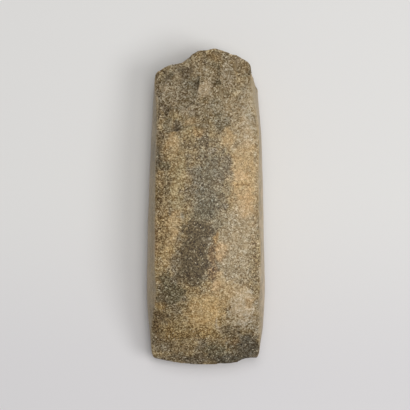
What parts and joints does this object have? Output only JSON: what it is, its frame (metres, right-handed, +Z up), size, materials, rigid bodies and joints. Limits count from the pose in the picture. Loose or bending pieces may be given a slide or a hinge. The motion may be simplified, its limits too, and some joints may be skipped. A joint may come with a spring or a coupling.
{
  "type": "stone adze",
  "caption": "Ground stone adze head with a curved bevel to its cutting edge, outward-sloping side facets, a crowned upper face and a broken, flaked butt.",
  "frame": {"origin": "on the flat of the lower face, halfway between the cutting edge and the peak of the butt and halfway across", "axes": "+X to the right across the blade, +Y along the length from the cutting edge towards the butt, +Z up from the lower face to the crown"},
  "size_m": [0.0602, 0.16, 0.034],
  "materials": {
    "stone": "ground and weathered, rough on the broken butt, smoother on the side facets"
  },
  "bodies": {
    "root": {"adze_head": "stone"}
  },
  "joints": []
}
